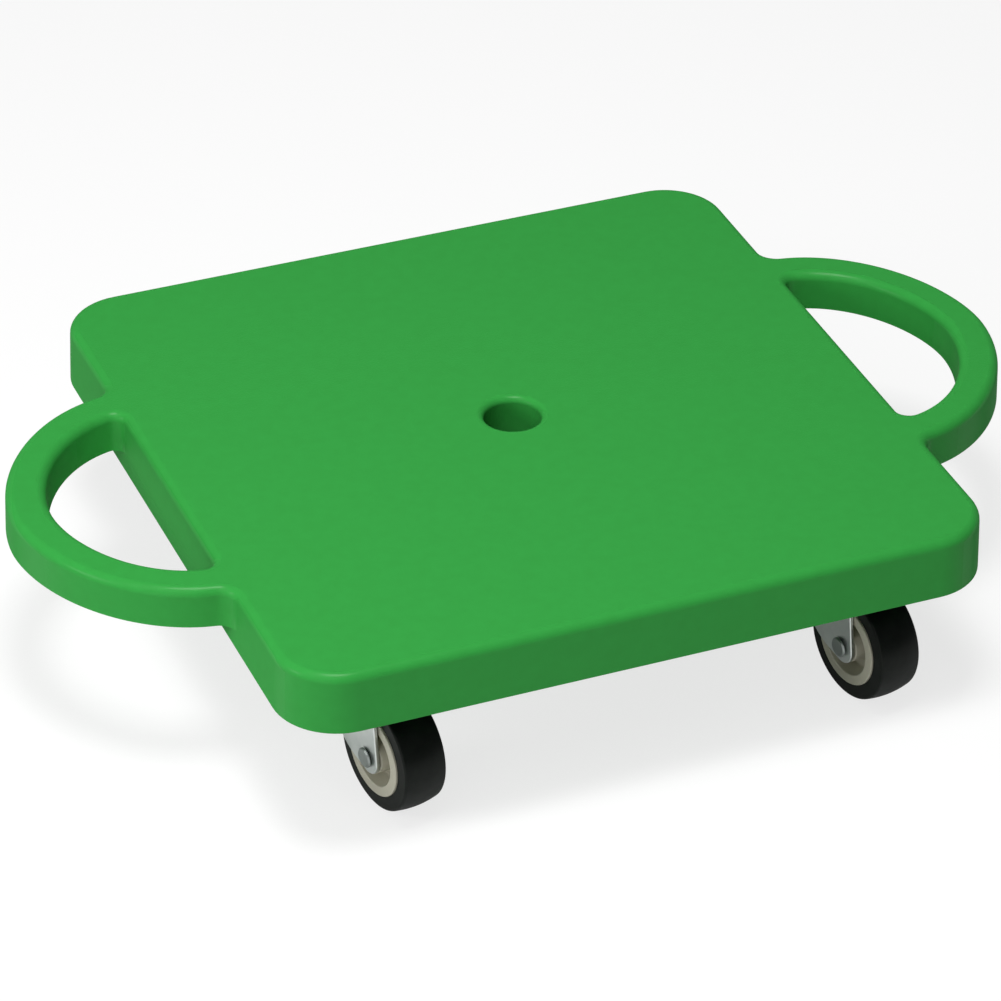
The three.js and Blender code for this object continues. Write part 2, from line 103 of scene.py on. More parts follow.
# Swivel
kingpin_radius = 4 * MM
kingpin_head = 7.5 * MM
kingpin_head_height = 1.8 * MM
kingpin_sink = 0.3 * MM
kingpin_tail = 6 * MM
kingpin_tail_height = 1.2 * MM
kingpin_play = 0.9 * MM
ball_radius = 1.59 * MM
ball_seat = 0.35 * MM
ball_play = 0.2 * MM
upper_balls = 15
lower_balls = 12
race_thickness = 1.5 * MM
race_rim = 1 * MM
race_rim_height = 1.1 * MM
race_side_gap = 1 * MM
race_to_wheel = 0.5 * MM

# Yoke
leg_thickness = 1.8 * MM
leg_end = 6.6 * MM
leg_end_ahead = 0.7 * MM
leg_end_drop = 0.5 * MM
leg_front_length = 17 * MM
leg_front_bend = 10 * MM
leg_front_lean = math.radians(7)
leg_rear_length = 8 * MM
leg_rear_bend = 20 * MM
leg_rear_rise = math.radians(13)
leg_root_share = 0.95
leg_edge = 0.35 * MM
crown_to_screw = 4.2 * MM
crown_thickness = 1.8 * MM
crown_rim_height = 1.5 * MM
crown_chamfer = 1.1 * MM

# Axle rivet, its ends formed to low heads with a shallow dish
axle_radius = 3 * MM
axle_head = 4.5 * MM
axle_head_height = 1.5 * MM
axle_head_neck = 3.5 * MM
axle_head_flat = 3.7 * MM
axle_dish_depth = 0.3 * MM

# Wheel
tyre_width = 19.2 * MM
tyre_thickness = 7.5 * MM
tyre_crown = 1.2 * MM
tyre_shoulder = 1.1 * MM
hub_proud = 0.8 * MM
hub_rim = 4.4 * MM
hub_web = 5 * MM
hub_boss = 7.5 * MM
hub_taper = 0.8 * MM
bush_wall = 1.3 * MM
hub_side_gap = 0.6 * MM

# Gaps, overruns and small fillets
fit = 0.3 * MM
seat_gap = 0.1 * MM
overrun = 1 * MM
small_fillet = 0.5 * MM
large_fillet = 1 * MM

# Steps in which curves are drawn
corner_steps = 16
root_steps = 8
bow_steps = 72
edge_steps = 8
fillet_steps = 4
round_sides = 48
wheel_sides = 96
ball_steps = 12
bisections = 40
corner_angle = math.radians(32)

# The photograph's view
photo_size = 1001
sensor = 36
focal_pixels = 4935.2
camera_azimuth = math.radians(-22.488)
camera_elevation = math.radians(33.673)
camera_roll = math.radians(0.666)
camera_distance = 2069.3 * MM
framing_right = 5.03 * MM
framing_up = 36.6 * MM
view_limit = 50

# Places from the frame
deck_low, deck_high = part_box("deck")
deck_top = deck_high.z
deck_bottom = deck_low.z
deck_depth = deck_top - deck_bottom
handle_bottom = deck_top - handle_depth
skin_bottom = deck_top - deck_skin
joints = {joint["name"]: joint for joint in frame["joints"]}
casters = [name.removesuffix("_swivel_turn") for name in joints if name.endswith("_swivel_turn")]
pivots = {place: Vector(joints[f"{place}_swivel_turn"]["pos_m"]) for place in casters}
wheel_centres = {place: Vector(joints[f"{place}_wheel_roll"]["pos_m"]) for place in casters}
wheel_radius = wheel_centres[casters[0]].z
trail = (wheel_centres[casters[0]] - pivots[casters[0]]).xy.length
caster_x = abs(pivots[casters[0]].x)
caster_y = abs(pivots[casters[0]].y)

# Heights of the caster's pieces, worked up from the floor
race_bottom = 2 * wheel_radius + race_to_wheel
race_top = race_bottom + race_thickness
lower_ball_z = race_top + ball_radius - ball_seat
crown_bottom = lower_ball_z + ball_radius + ball_play
crown_top = crown_bottom + crown_thickness
upper_ball_z = crown_top + ball_radius - ball_seat
plate_bottom = upper_ball_z + ball_radius + ball_play
plate_top = plate_bottom + plate_thickness
seat_z = plate_top + seat_gap
dish_depth = kingpin_head_height + kingpin_sink + seat_gap

# Widths across a wheel
hub_half = tyre_width / 2 + hub_proud
yoke_inner = hub_half + hub_side_gap
yoke_outer = yoke_inner + leg_thickness
bush_half = yoke_inner - fit
bush_outer = axle_radius + fit + bush_wall
hub_radius = wheel_radius - tyre_thickness
crown_radius = math.hypot(pattern_length, pattern_width) / 2 - screw_head - crown_to_screw
plate_half_x = pattern_length / 2 + plate_margin
plate_half_y = pattern_width / 2 + plate_margin


def arc(centre, radius, start, stop, steps):
    """Points along an arc, ends included."""
    angles = [start + (stop - start) * i / steps for i in range(steps + 1)]
    return [centre + radius * Vector((math.cos(a), math.sin(a))) for a in angles]


def rounded_rectangle(half_x, half_y, radius, steps):
    """A rectangle with round corners, anticlockwise from its corner at plus X, minus Y."""
    x, y = half_x - radius, half_y - radius
    corners = [(x, -y), (x, y), (-x, y), (-x, -y)]
    quarter = math.pi / 2
    points = []
    for i, corner in enumerate(corners):
        points += arc(Vector(corner), radius, (i - 1) * quarter, i * quarter, steps)
    return points


def slot_outline(half_length, radius, steps):
    """A slot along X with round ends."""
    quarter = math.pi / 2
    right = arc(Vector((half_length, 0)), radius, -quarter, quarter, steps)
    return right + [-point for point in right]


def bezier(start, control, end, steps):
    """Points of a quadratic curve after its start."""
    shares = [i / steps for i in range(1, steps + 1)]
    return [(1 - t) ** 2 * start + 2 * t * (1 - t) * control + t * t * end for t in shares]


def filleted(corners, closed=True):
    """An outline with rounded corners, from corners given as (x, y, radius)."""
    count = len(corners)
    points = []
    for i, (x, y, radius) in enumerate(corners):
        here = Vector((x, y))
        at_end = not closed and i in (0, count - 1)
        if radius == 0 or at_end:
            points.append(here)
            continue
        back = (Vector(corners[i - 1][:2]) - here).normalized()
        ahead = (Vector(corners[(i + 1) % count][:2]) - here).normalized()
        half = math.acos(max(-1, min(1, back.dot(ahead)))) / 2
        centre = here + (back + ahead).normalized() * (radius / math.sin(half))
        first = here + back * (radius / math.tan(half)) - centre
        last = here + ahead * (radius / math.tan(half)) - centre
        start = math.atan2(first.y, first.x)
        sweep = (math.atan2(last.y, last.x) - start + math.pi) % (2 * math.pi) - math.pi
        points += arc(centre, radius, start, start + sweep, fillet_steps)
    return points


def grown(outline, distance):
    """An outline moved outwards by a distance, its points running anticlockwise."""
    count = len(outline)
    moved = []
    for i, point in enumerate(outline):
        before = (point - outline[i - 1]).normalized()
        after = (outline[(i + 1) % count] - point).normalized()
        normal = Vector((before.y + after.y, -before.x - after.x)).normalized()
        lean = normal.x * after.y - normal.y * after.x
        moved.append(point + normal * (distance / lean))
    return moved


def mesh_object(name, made):
    """A new object in the scene from a bmesh, its faces turned outwards."""
    bmesh.ops.recalc_face_normals(made, faces=made.faces)
    mesh = bpy.data.meshes.new(name)
    made.to_mesh(mesh)
    made.free()
    piece = bpy.data.objects.new(name, mesh)
    bpy.context.scene.collection.objects.link(piece)
    return piece


def stacked(name, outline, levels):
    """A solid through level copies of an outline, one for each (growth, height)."""
    made = bmesh.new()
    rings = []
    for growth, height in levels:
        rings.append([made.verts.new((p.x, p.y, height)) for p in grown(outline, growth)])
    count = len(outline)
    for low, high in zip(rings, rings[1:]):
        for i in range(count):
            j = (i + 1) % count
            made.faces.new((low[i], low[j], high[j], high[i]))
    made.faces.new(rings[0][::-1])
    made.faces.new(rings[-1])
    return mesh_object(name, made)


def turned(name, profile, sides, about_y=False):
    """A solid of revolution about Z, or about Y, from a closed profile of (radius, height)."""
    made = bmesh.new()
    rings = []
    for radius, height in profile:
        if radius == 0:
            rings.append([made.verts.new((0, 0, height))] * sides)
            continue
        angles = [2 * math.pi * (i + 0.5) / sides for i in range(sides)]
        points = [(radius * math.cos(a), radius * math.sin(a), height) for a in angles]
        rings.append([made.verts.new(point) for point in points])
    for i, first in enumerate(rings):
        second = rings[(i + 1) % len(rings)]
        for a in range(sides):
            b = (a + 1) % sides
            corners = list(dict.fromkeys((first[a], first[b], second[b], second[a])))
            if len(corners) > 2:
                made.faces.new(corners)
    if about_y:
        bmesh.ops.rotate(made, matrix=Matrix.Rotation(math.pi / 2, 3, "X"), verts=made.verts)
    return mesh_object(name, made)


def box(name, x0, x1, y0, y1, z0, z1):
    """A plain block between two places on each axis, used as a rib or as a cutter."""
    made = bmesh.new()
    size = Matrix.Diagonal((x1 - x0, y1 - y0, z1 - z0, 1))
    place = Matrix.Translation(((x0 + x1) / 2, (y0 + y1) / 2, (z0 + z1) / 2))
    bmesh.ops.create_cube(made, size=1, matrix=place @ size)
    return mesh_object(name, made)


def cylinder(name, radius, low, high):
    """An upright round bar, used as a boss or as a cutter."""
    return turned(name, [(0, low), (radius, low), (radius, high), (0, high)], round_sides)


def moved(piece, x=0, y=0, z=0, turn=0, axis="Z"):
    """Turns a piece's mesh about the origin and then moves it."""
    piece.data.transform(Matrix.Translation((x, y, z)) @ Matrix.Rotation(turn, 4, axis))
    return piece


def copied(piece):
    """A second piece with its own copy of the mesh."""
    twin = piece.copy()
    twin.data = piece.data.copy()
    bpy.context.scene.collection.objects.link(twin)
    return twin


def settled(piece):
    """Applies a piece's modifiers to its mesh."""
    depsgraph = bpy.context.evaluated_depsgraph_get()
    mesh = bpy.data.meshes.new_from_object(piece.evaluated_get(depsgraph))
    piece.modifiers.clear()
    piece.data = mesh
    return piece


def combined(target, tools, operation):
    """Joins or cuts a solid with others, which are used up."""
    for tool in tools:
        modifier = target.modifiers.new("combine", "BOOLEAN")
        modifier.operation = operation
        modifier.solver = "MANIFOLD"
        modifier.object = tool
    settled(target)
    for tool in tools:
        bpy.data.objects.remove(tool)
    return target


def joined(first, *others):
    return combined(first, others, "UNION")


def cut(first, *others):
    return combined(first, others, "DIFFERENCE")


def smoothed(piece):
    """Smooth shading that keeps real corners, flat faces staying flat."""
    piece.data.polygons.foreach_set("use_smooth", [True] * len(piece.data.polygons))
    piece.data.set_sharp_from_angle(angle=corner_angle)
    weighted = piece.modifiers.new("flat faces first", "WEIGHTED_NORMAL")
    weighted.keep_sharp = True
    return piece


# Materials


def linear(hex_colour):
    """An sRGB hex colour as linear red, green, blue and alpha."""
    channels = [int(hex_colour[i : i + 2], 16) / 255 for i in (1, 3, 5)]
    return (*[c / 12.92 if c <= 0.04045 else ((c + 0.055) / 1.055) ** 2.4 for c in channels], 1)


def add_node(tree, kind, inputs=None, **settings):
    """Adds a node with its settings. An input takes a value, or the output that feeds it."""
    made = tree.nodes.new(kind)
    for name, value in settings.items():
        setattr(made, name, value)
    for name, value in (inputs or {}).items():
        if isinstance(value, bpy.types.NodeSocket):
            tree.links.new(value, made.inputs[name])
        else:
            made.inputs[name].default_value = value
    return made


def new_material(name):
    """An empty node material: its tree, its shader and a place on the object in metres."""
    material = bpy.data.materials.new(name)
    material.use_nodes = True
    tree = material.node_tree
    shader = tree.nodes["Principled BSDF"]
    place = add_node(tree, "ShaderNodeTexCoord").outputs["Object"]
    return material, tree, shader, place


# Sockets of a Mix node set to colours
MIX_A, MIX_B, MIX_RESULT = 6, 7, 2


def connected(tree, shader, colour, roughness, bump):
    """Feeds the shader its colour, its roughness and its bumps."""
    tree.links.new(colour.outputs[MIX_RESULT], shader.inputs["Base Color"])
    tree.links.new(roughness.outputs["Result"], shader.inputs["Roughness"])
    tree.links.new(bump.outputs["Normal"], shader.inputs["Normal"])


def moulded_polypropylene():
    """Injection-moulded polypropylene, dyed through: satin, even, faintly mottled."""
    material, tree, shader, place = new_material("moulded_polypropylene")
    # Mottled dye, in patches about 5 mm across
    mottle = add_node(tree, "ShaderNodeTexNoise", {"Vector": place, "Scale": 200, "Detail": 3})
    share = add_node(
        tree,
        "ShaderNodeMapRange",
        {"Value": mottle.outputs["Fac"], "From Min": 0.3, "From Max": 0.7},
    )
    colour = add_node(
        tree,
        "ShaderNodeMix",
        {0: share.outputs["Result"], MIX_A: linear("#369d43"), MIX_B: linear("#37a045")},
        data_type="RGBA",
    )
    # The mould's spark-eroded grain, really 0.1 mm, drawn at 0.7 mm so that it shows
    grain = add_node(tree, "ShaderNodeTexNoise", {"Vector": place, "Scale": 1400, "Detail": 2})
    bump = add_node(
        tree,
        "ShaderNodeBump",
        {"Height": grain.outputs["Fac"], "Strength": 0.1, "Distance": 0.1 * MM},
    )
    # The mould is polished a little unevenly, in patches about 60 mm across
    wear = add_node(tree, "ShaderNodeTexNoise", {"Vector": place, "Scale": 16, "Detail": 2})
    gloss = add_node(
        tree,
        "ShaderNodeMapRange",
        {"Value": wear.outputs["Fac"], "To Min": 0.2, "To Max": 0.28},
    )
    # The grain dulls the sheen where the surface is seen at a flat angle
    facing = add_node(tree, "ShaderNodeLayerWeight", {"Blend": 0.5, "Normal": bump.outputs["Normal"]})
    dulled = add_node(
        tree,
        "ShaderNodeMapRange",
        {
            "Value": facing.outputs["Facing"],
            "From Min": 0.45,
            "From Max": 0.7,
            "To Min": gloss.outputs["Result"],
            "To Max": 0.7,
        },
    )
    connected(tree, shader, colour, dulled, bump)
    shader.inputs["IOR"].default_value = 1.49
    shader.inputs["Specular IOR Level"].default_value = 0.08
    return material


def zinc_plated_steel(name, dark, light, rough_low, rough_high):
    """Steel under bright zinc: a cloudy blue-grey metal with the fine grain of rolling or turning."""
    material, tree, shader, place = new_material(name)
    # Clouds in the plating, about 5 mm across
    cloud = add_node(tree, "ShaderNodeTexNoise", {"Vector": place, "Scale": 200, "Detail": 4})
    colour = add_node(
        tree,
        "ShaderNodeMix",
        {0: cloud.outputs["Fac"], MIX_A: linear(dark), MIX_B: linear(light)},
        data_type="RGBA",
    )
    gloss = add_node(
        tree,
        "ShaderNodeMapRange",
        {
            "Value": cloud.outputs["Fac"],
            "From Min": 0.3,
            "From Max": 0.7,
            "To Min": rough_low,
            "To Max": rough_high,
        },
    )
    # Grain, really 0.05 mm, drawn at 0.3 mm so that it shows, and stretched upright
    along = add_node(tree, "ShaderNodeVectorMath", {0: place, 1: (1, 1, 0.15)}, operation="MULTIPLY")
    grain = add_node(tree, "ShaderNodeTexNoise", {"Vector": along.outputs[0], "Scale": 3000, "Detail": 1})
    bump = add_node(
        tree,
        "ShaderNodeBump",
        {"Height": grain.outputs["Fac"], "Strength": 0.1, "Distance": 0.05 * MM},
    )
    connected(tree, shader, colour, gloss, bump)
    shader.inputs["Metallic"].default_value = 1
    return material


def moulded_nylon():
    """Cream nylon, moulded: a soft, slightly waxy sheen and faint clouds in the dye."""
    material, tree, shader, place = new_material("moulded_nylon")
    # Clouds in the dye, about 7 mm across
    cloud = add_node(tree, "ShaderNodeTexNoise", {"Vector": place, "Scale": 150, "Detail": 3})
    colour = add_node(
        tree,
        "ShaderNodeMix",
        {0: cloud.outputs["Fac"], MIX_A: linear("#b8b5a3"), MIX_B: linear("#c8c5b3")},
        data_type="RGBA",
    )
    # Mould texture, really 0.05 mm, drawn at 0.4 mm so that it shows
    grain = add_node(tree, "ShaderNodeTexNoise", {"Vector": place, "Scale": 2500, "Detail": 1})
    bump = add_node(
        tree,
        "ShaderNodeBump",
        {"Height": grain.outputs["Fac"], "Strength": 0.08, "Distance": 0.05 * MM},
    )
    gloss = add_node(
        tree,
        "ShaderNodeMapRange",
        {"Value": cloud.outputs["Fac"], "To Min": 0.42, "To Max": 0.55},
    )
    connected(tree, shader, colour, gloss, bump)
    shader.inputs["IOR"].default_value = 1.53
    return material


def moulded_rubber():
    """Black rubber, moulded on the hub: dull, with a faint bloom of paler patches."""
    material, tree, shader, place = new_material("moulded_rubber")
    # Bloom in patches about 8 mm across
    bloom = add_node(tree, "ShaderNodeTexNoise", {"Vector": place, "Scale": 120, "Detail": 5})
    share = add_node(
        tree,
        "ShaderNodeMapRange",
        {"Value": bloom.outputs["Fac"], "From Min": 0.35, "From Max": 0.75},
    )
    colour = add_node(
        tree,
        "ShaderNodeMix",
        {0: share.outputs["Result"], MIX_A: linear("#101411"), MIX_B: linear("#1b1f1c")},
        data_type="RGBA",
    )
    # Fine pits of the moulded skin, about 0.4 mm
    pits = add_node(tree, "ShaderNodeTexNoise", {"Vector": place, "Scale": 2500, "Detail": 2})
    bump = add_node(
        tree,
        "ShaderNodeBump",
        {"Height": pits.outputs["Fac"], "Strength": 0.15, "Distance": 0.05 * MM},
    )
    gloss = add_node(
        tree,
        "ShaderNodeMapRange",
        {"Value": bloom.outputs["Fac"], "To Min": 0.3, "To Max": 0.45},
    )
    connected(tree, shader, colour, gloss, bump)
    shader.inputs["IOR"].default_value = 1.52
    shader.inputs["Specular IOR Level"].default_value = 0.1
    return material


green = moulded_polypropylene()
zinc = zinc_plated_steel("zinc_plated_steel", "#c3c9c7", "#dde1de", 0.3, 0.42)
steel = zinc_plated_steel("turned_steel", "#848b88", "#a0a6a3", 0.36, 0.46)
cream = moulded_nylon()
rubber = moulded_rubber()


def dressed(piece, body, nodes, material):
    """Finishes a piece: smooth shading, material, the body it rides on and the nodes it stands for."""
    smoothed(piece)
    piece.data.materials.clear()
    piece.data.materials.append(material)
    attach(piece, body)
    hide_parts(*nodes)
    return piece


# Deck


def bow_point(reach, half_span, angle):
    """One point of the bow and its outward normal, measured from the deck's side."""
    power = 2 / handle_roundness
    across = math.copysign(abs(math.sin(angle)) ** power, angle)
    point = Vector((reach * math.cos(angle) ** power, half_span * across))
    slope = handle_roundness - 1
    lean_x = abs(point.x / reach) ** slope / reach
    lean_y = math.copysign(abs(point.y / half_span) ** slope, point.y) / half_span
    return point, Vector((lean_x, lean_y)).normalized()


def bow(reach, half_span, root, side):
    """The bow from root to root, blended into the deck's side by arcs, hollow outside (side 1)."""
    low, high = 0, math.pi / 2
    for _ in range(bisections):
        middle = (low + high) / 2
        point, normal = bow_point(reach, half_span, middle)
        if point.x + side * root * normal.x > root:
            low = middle
        else:
            high = middle
    end, normal = bow_point(reach, half_span, low)
    centre = end + side * root * normal
    start = math.atan2(-side * normal.y, -side * normal.x)
    stop = -math.pi if side > 0 else math.pi
    upper = arc(centre, root, start, stop, root_steps)[1:]
    lower = [Vector((p.x, -p.y)) for p in reversed(upper)]
    angles = [-low + 2 * low * i / bow_steps for i in range(bow_steps + 1)]
    middle = [bow_point(reach, half_span, a)[0] for a in angles]
    return [p + Vector((deck_side / 2, 0)) for p in lower + middle + upper]


def plain_bow(reach, half_span):
    """The bow without its roots, from the deck's side round to it again."""
    angles = [(i / bow_steps - 1 / 2) * math.pi for i in range(bow_steps + 1)]
    return [bow_point(reach, half_span, a)[0] + Vector((deck_side / 2, 0)) for a in angles]


def mirrored(points):
    """An outline's points on the other side of the board, still running anticlockwise."""
    return [Vector((-p.x, p.y)) for p in reversed(points)]


def rounded_top(radius, side):
    """Levels that round an edge over into the top, on a rim (side 1) or round a hole (side -1)."""
    levels = []
    for i in range(edge_steps + 1):
        angle = i / edge_steps * math.pi / 2
        inset = radius * (1 - math.cos(angle))
        levels.append((-side * inset, deck_top - radius * (1 - math.sin(angle))))
    return levels


def rounded_bottom(radius, growth, bottom):
    """Levels that round the lower edge of a wall."""
    levels = []
    for i in range(fillet_steps + 1):
        angle = i / fillet_steps * math.pi / 2
        inset = radius * (1 - math.sin(angle))
        levels.append((growth - inset, bottom + radius * (1 - math.cos(angle))))
    return levels


def rib_lines(offset, pattern):
    """Places of the ribs: through each row of screws, and evenly between the casters."""
    inner = offset - pattern / 2
    between = [(2 * i / middle_cells - 1) * inner for i in range(middle_cells + 1)]
    return [-offset - pattern / 2, *between, offset + pattern / 2]


screw_places = [
    (sx * pattern_length / 2, sy * pattern_width / 2) for sx, sy in ((-1, -1), (1, -1), (-1, 1), (1, 1))
]


def deck_form(square):
    """The deck's outer form: handles and openings above, the plain square skirt below."""
    spread = draft * handle_depth
    outer_bow = bow(handle_reach, handle_span / 2, handle_root, 1)
    opening = bow(handle_reach - handle_bar, handle_span / 2 - handle_bar, opening_root, -1)
    per_corner = corner_steps + 1
    right = square[:per_corner] + outer_bow + square[per_corner : 2 * per_corner]
    upper = [(spread, handle_bottom), *rounded_top(deck_edge, 1)]
    form = stacked("deck_form", right + mirrored(right), upper)
    lower = [*rounded_bottom(skirt_lip, draft * deck_depth, deck_bottom), (spread, handle_bottom)]
    joined(form, stacked("skirt", square, lower))
    cutter = stacked(
        "opening",
        opening,
        [
            (-spread, handle_bottom - overrun),
            (-spread, handle_bottom),
            *rounded_top(deck_edge, -1),
            (deck_edge, deck_top + overrun),
        ],
    )
    return cut(form, moved(copied(cutter), turn=math.pi), cutter)


def stiffening():
    """What stands in the deck's hollow: the tube round the hole, ribs, caster rims and screw bosses."""
    half = deck_side / 2
    whole = cylinder("tube", hole_radius + hole_wall, deck_bottom, deck_top)
    parts = []
    for line in rib_lines(caster_x, pattern_length):
        parts.append(box("rib", line - rib / 2, line + rib / 2, -half, half, seat_z, deck_top))
    for line in rib_lines(caster_y, pattern_width):
        parts.append(box("rib", -half, half, line - rib / 2, line + rib / 2, seat_z, deck_top))
    inner_x, inner_y = plate_half_x + pad_clearance, plate_half_y + pad_clearance
    rim_low = seat_z - pad_rim_depth
    outline = rounded_rectangle(inner_x, inner_y, plate_corner, fillet_steps)
    for pivot in pivots.values():
        rim = stacked("rim", outline, [(pad_rim, rim_low), (pad_rim, deck_top)])
        inside = stacked("inside", outline, [(0, rim_low - overrun), (0, deck_top + overrun)])
        parts.append(moved(cut(rim, inside), pivot.x, pivot.y))
        for x, y in screw_places:
            boss = cylinder("boss", boss_radius, seat_z, deck_top)
            parts.append(moved(boss, pivot.x + x, pivot.y + y))
    return joined(whole, *parts)


def handle_channel():
    """The channel under the right handle, with ribs that stand square to the bow."""
    reach = handle_reach - handle_wall
    half = handle_span / 2 - handle_wall
    bar = handle_bar - 2 * handle_wall
    low = handle_bottom - overrun
    channel = stacked("channel", plain_bow(reach, half), [(0, low), (0, skin_bottom)])
    inside = plain_bow(reach - bar, half - bar)
    side = deck_side / 2 + draft * handle_depth
    tools = [
        stacked("inside", inside, [(0, low - overrun), (0, skin_bottom + overrun)]),
        box("deck_side", 0, side, -handle_span, handle_span, low - overrun, skin_bottom + overrun),
    ]
    for i in range(handle_ribs):
        point, normal = bow_point(reach, half, ((i + 1) / (handle_ribs + 1) - 1 / 2) * math.pi)
        plate = box("rib", -handle_bar, handle_bar, -rib / 2, rib / 2, handle_bottom, deck_top)
        square_to_bow = math.atan2(normal.y, normal.x)
        tools.append(moved(plate, deck_side / 2 + point.x, point.y, turn=square_to_bow))
    return cut(channel, *tools)


def moulded_deck():
    """The whole moulding: form, hollow with its stiffening, handle channels, hole and screw pilots."""
    half = deck_side / 2
    square = rounded_rectangle(half, half, deck_corner, corner_steps)
    hollow = stacked(
        "hollow",
        square,
        [
            (draft * (deck_depth + overrun) - deck_wall, deck_bottom - overrun),
            (draft * deck_skin - deck_wall, skin_bottom),
        ],
    )
    cut(hollow, stiffening())
    channel = handle_channel()
    round_hole = arc(Vector((0, 0)), hole_radius, 0, 2 * math.pi, 2 * round_sides)[1:]
    hole = stacked(
        "hole",
        round_hole,
        [(0, deck_bottom - overrun), *rounded_top(hole_edge, -1), (hole_edge, deck_top + overrun)],
    )
    tools = [hollow, moved(copied(channel), turn=math.pi), channel, hole]
    for pivot in pivots.values():
        for x, y in screw_places:
            pilot = cylinder("pilot", pilot_radius, seat_z - overrun, seat_z + screw_length + overrun)
            tools.append(moved(pilot, pivot.x + x, pivot.y + y))
    deck = cut(deck_form(square), *tools)
    deck.name = "moulded_deck"
    return dressed(deck, "board", ["deck"], green)


moulded_deck()


# Caster pieces, each made once about its own caster's upright axis, or about its wheel's axle


def ball_row(count, pitch, height):
    """A ring of bearing balls about the kingpin."""
    made = bmesh.new()
    for i in range(count):
        angle = 2 * math.pi * i / count
        place = Matrix.Translation((pitch * math.cos(angle), pitch * math.sin(angle), height))
        bmesh.ops.create_uvsphere(
            made, u_segments=2 * ball_steps, v_segments=ball_steps, radius=ball_radius, matrix=place
        )
    return mesh_object("balls", made)


def mount_plate():
    """Pressed plate with four slots and a dish for the kingpin's head."""
    outline = rounded_rectangle(plate_half_x, plate_half_y, plate_corner, corner_steps)
    edge = plate_edge
    plate = stacked(
        "mount_plate",
        outline,
        [(-edge, plate_bottom), (0, plate_bottom + edge), (0, plate_top - edge), (-edge, plate_top)],
    )
    dish = kingpin_head + fit
    wide = dish + plate_thickness
    low = plate_bottom - dish_depth
    outside = filleted(
        [
            (0, low, 0),
            (dish + small_fillet, low, plate_thickness / 2),
            (wide, plate_bottom, 0),
            (wide, plate_top, 0),
            (0, plate_top, 0),
        ],
        closed=False,
    )
    joined(plate, turned("dish", outside, round_sides))
    inside = turned(
        "inside",
        filleted(
            [
                (0, plate_top - dish_depth, 0),
                (dish, plate_top - dish_depth, small_fillet),
                (dish, plate_top + overrun, 0),
                (0, plate_top + overrun, 0),
            ],
            closed=False,
        ),
        round_sides,
    )
    eye = cylinder("eye", kingpin_radius + seat_gap, low - overrun, plate_top)
    tools = [inside, eye]
    slot = slot_outline(plate_slot / 2, screw_radius + seat_gap, root_steps)
    for x, y in screw_places:
        through = stacked("slot", slot, [(0, plate_bottom - overrun), (0, plate_top + overrun)])
        tools.append(moved(through, x, y))
    return cut(plate, *tools)


def screw():
    """Pan head screw with a cross recess, its shank plain in the boss."""
    top = plate_bottom - seat_gap
    low = top - screw_head_height
    end = plate_top + screw_length
    profile = filleted(
        [
            (0, low, 0),
            (screw_head, low, screw_head_height * head_round_share),
            (screw_head, top, 0),
            (screw_radius, top, 0),
            (screw_radius, end - screw_point_share * screw_radius, 0),
            (0, end, 0),
        ],
        closed=False,
    )
    made = turned("screw", profile, round_sides)
    reach, half = recess_reach, recess_width / 2
    deep = low + recess_depth
    cross = [
        box("recess", -reach, reach, -half, half, low - overrun, deep),
        box("recess", -half, half, -reach, reach, low - overrun, deep),
    ]
    return cut(made, *cross)


def kingpin():
    """Rivet with a flat head above and a tail formed over the lower race."""
    head = plate_top - dish_depth + seat_gap
    tail = race_bottom - seat_gap
    low = tail - kingpin_tail_height
    high = head + kingpin_head_height
    profile = filleted(
        [
            (0, low, 0),
            (kingpin_tail, low, kingpin_tail_height * head_round_share),
            (kingpin_tail, tail, 0),
            (kingpin_radius, tail, 0),
            (kingpin_radius, head, 0),
            (kingpin_head, head, 0),
            (kingpin_head, high, small_fillet),
            (0, high, 0),
        ],
        closed=False,
    )
    return turned("kingpin", profile, round_sides)


def lower_race():
    """Cupped washer with its row of balls."""
    outer = yoke_inner - race_side_gap
    inner = kingpin_radius + seat_gap
    rim_top = race_top + race_rim_height
    cup = filleted(
        [
            (inner, race_bottom, 0),
            (outer, race_bottom, small_fillet),
            (outer, rim_top, small_fillet / 2),
            (outer - race_rim, rim_top, small_fillet / 2),
            (outer - race_rim, race_top, small_fillet),
            (inner, race_top, 0),
        ]
    )
    pitch = outer - race_rim - fit - ball_radius
    return joined(turned("lower_race", cup, round_sides), ball_row(lower_balls, pitch, lower_ball_z))


def leg_outline():
    """A leg of the yoke seen along the axle: round end, leaning front edge, rear edge that sweeps up."""
    root = leg_root_share * math.sqrt(crown_radius**2 - yoke_outer**2)
    top = crown_bottom + crown_thickness / 2
    end = Vector((trail + leg_end_ahead, wheel_radius - leg_end_drop))
    rear_turn = 3 * math.pi / 2 - leg_rear_rise
    rearward = Vector((-math.cos(leg_rear_rise), math.sin(leg_rear_rise)))
    upward = Vector((-math.sin(leg_front_lean), math.cos(leg_front_lean)))
    around = arc(end, leg_end, rear_turn, 2 * math.pi + leg_front_lean, 2 * corner_steps)
    rear = around[0] + leg_rear_length * rearward
    front = around[-1] + leg_front_length * upward
    shoulder = Vector((-root, crown_bottom))
    outline = [Vector((root, top)), Vector((-root, top)), shoulder]
    outline += bezier(shoulder, rear + leg_rear_bend * rearward, rear, corner_steps)
    outline += [*around, front]
    outline += bezier(front, front + leg_front_bend * upward, Vector((root, crown_bottom)), corner_steps)
    return outline


